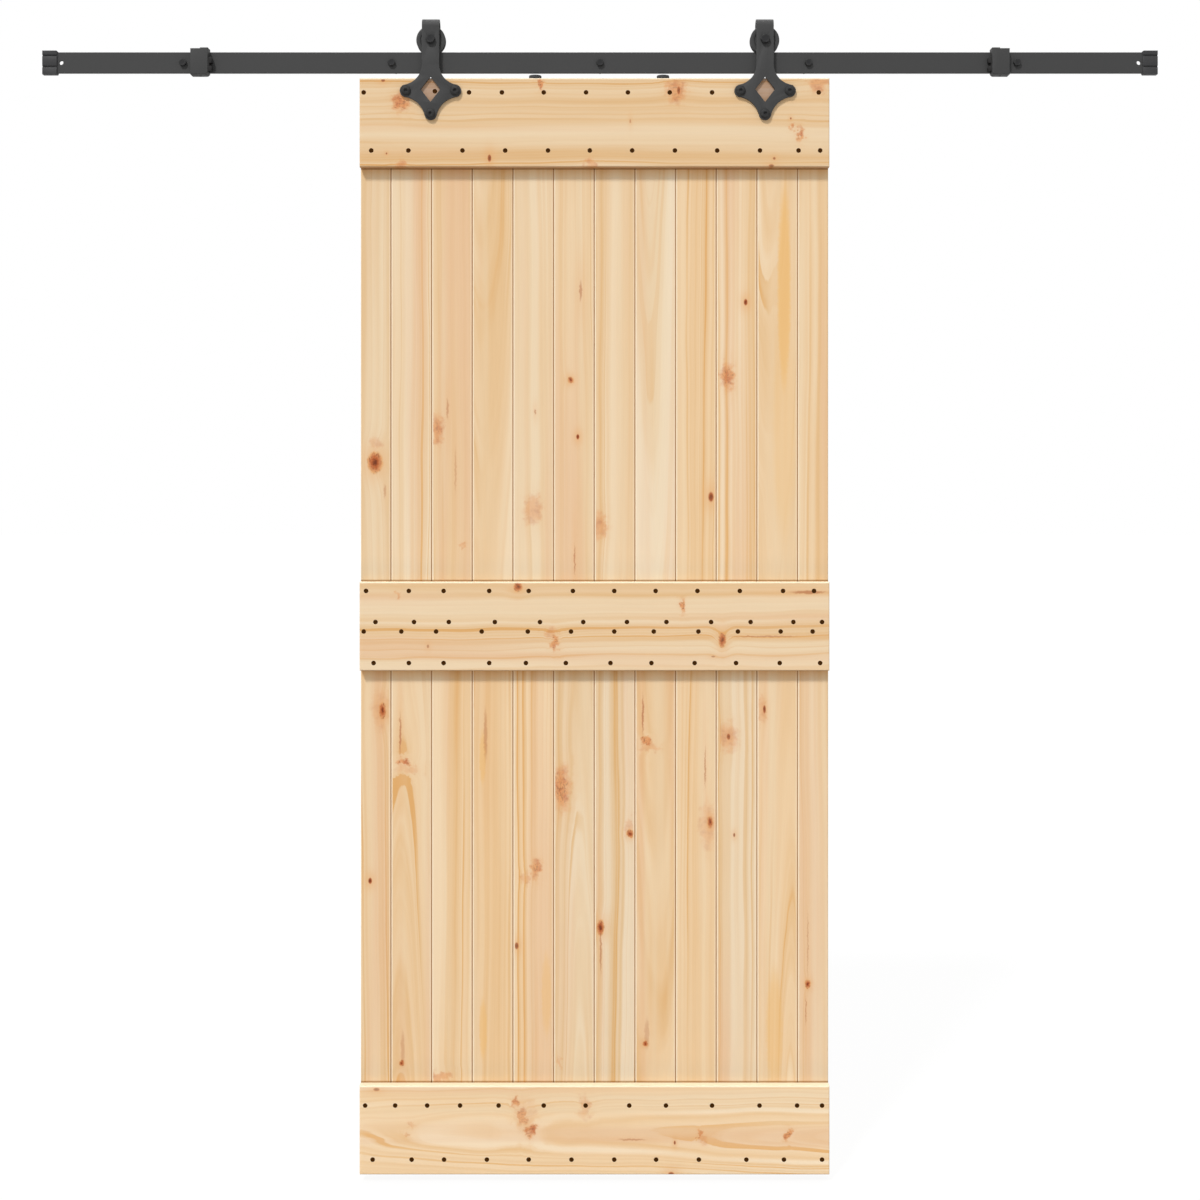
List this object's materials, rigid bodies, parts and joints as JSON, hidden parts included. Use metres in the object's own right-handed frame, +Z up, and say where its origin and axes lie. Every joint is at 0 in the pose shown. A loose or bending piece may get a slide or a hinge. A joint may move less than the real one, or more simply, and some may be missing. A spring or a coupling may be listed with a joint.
{
  "type": "sliding barn door",
  "caption": "Sliding barn door: tongue-and-groove plank leaf with level battens, hung by star-plate strap hangers and grooved wheels on a flat wall rail with stops.",
  "frame": {"origin": "on the wall plane, on the axis of the middle rail bolt, at the rail's mid-height", "axes": "+X along the rail to the viewer's right, +Y from the front into the wall, +Z up"},
  "size_m": [2.139, 0.0984, 2.2143],
  "materials": {
    "pine_planks": "satin",
    "pine_battens": "satin",
    "coated_steel": "matte",
    "wheel_steel": "satin",
    "dark_fasteners": "satin",
    "batten_screw_steel": "satin",
    "bush_steel": "satin",
    "cap_plastic": "matte",
    "bumper_rubber": "matte"
  },
  "bodies": {
    "track": {"rail": "coated_steel", "wall_spacers": "coated_steel", "wall_bolts": "dark_fasteners", "end_cap_left": "cap_plastic", "end_cap_right": "cap_plastic", "stop_block_left": "coated_steel", "stop_block_right": "coated_steel", "stop_bumper_left": "bumper_rubber", "stop_bumper_right": "bumper_rubber", "stop_grub_screws": "dark_fasteners"},
    "door": {"upper_plank_01": "pine_planks", "upper_plank_02": "pine_planks", "upper_plank_03": "pine_planks", "upper_plank_04": "pine_planks", "upper_plank_05": "pine_planks", "upper_plank_06": "pine_planks", "upper_plank_07": "pine_planks", "upper_plank_08": "pine_planks", "upper_plank_09": "pine_planks", "upper_plank_10": "pine_planks", "upper_plank_11": "pine_planks", "upper_plank_12": "pine_planks", "lower_plank_01": "pine_planks", "lower_plank_02": "pine_planks", "lower_plank_03": "pine_planks", "lower_plank_04": "pine_planks", "lower_plank_05": "pine_planks", "lower_plank_06": "pine_planks", "lower_plank_07": "pine_planks", "lower_plank_08": "pine_planks", "lower_plank_09": "pine_planks", "lower_plank_10": "pine_planks", "lower_plank_11": "pine_planks", "lower_plank_12": "pine_planks", "top_batten": "pine_battens", "middle_batten": "pine_battens", "bottom_batten": "pine_battens", "batten_screws": "batten_screw_steel", "anti_jump_discs": "coated_steel", "disc_screws": "dark_fasteners", "hanger_screws": "dark_fasteners", "wheel_bushes": "bush_steel", "axle_bolts": "dark_fasteners", "axle_nuts": "dark_fasteners", "hanger_strap_left": "coated_steel", "hanger_strap_right": "coated_steel"},
    "left_wheel": {"wheel_left": "wheel_steel"},
    "right_wheel": {"wheel_right": "wheel_steel"}
  },
  "joints": [
    {"name": "door_slide", "type": "slide", "parent": "track", "child": "door", "axis": [1, 0, 0], "range_m": [-0.4, 0.408]},
    {"name": "left_wheel_spin", "type": "hinge", "parent": "door", "child": "left_wheel", "pos_m": [-0.32415, -0.035, 0.0423], "axis": [0, 1, 0], "continuous": true},
    {"name": "right_wheel_spin", "type": "hinge", "parent": "door", "child": "right_wheel", "pos_m": [0.31575, -0.035, 0.0423], "axis": [0, 1, 0], "continuous": true}
  ],
  "couplings": [
    {"joint": "left_wheel_spin", "follows": "door_slide", "rad_per_m": 45.455},
    {"joint": "right_wheel_spin", "follows": "door_slide", "rad_per_m": 45.455}
  ]
}
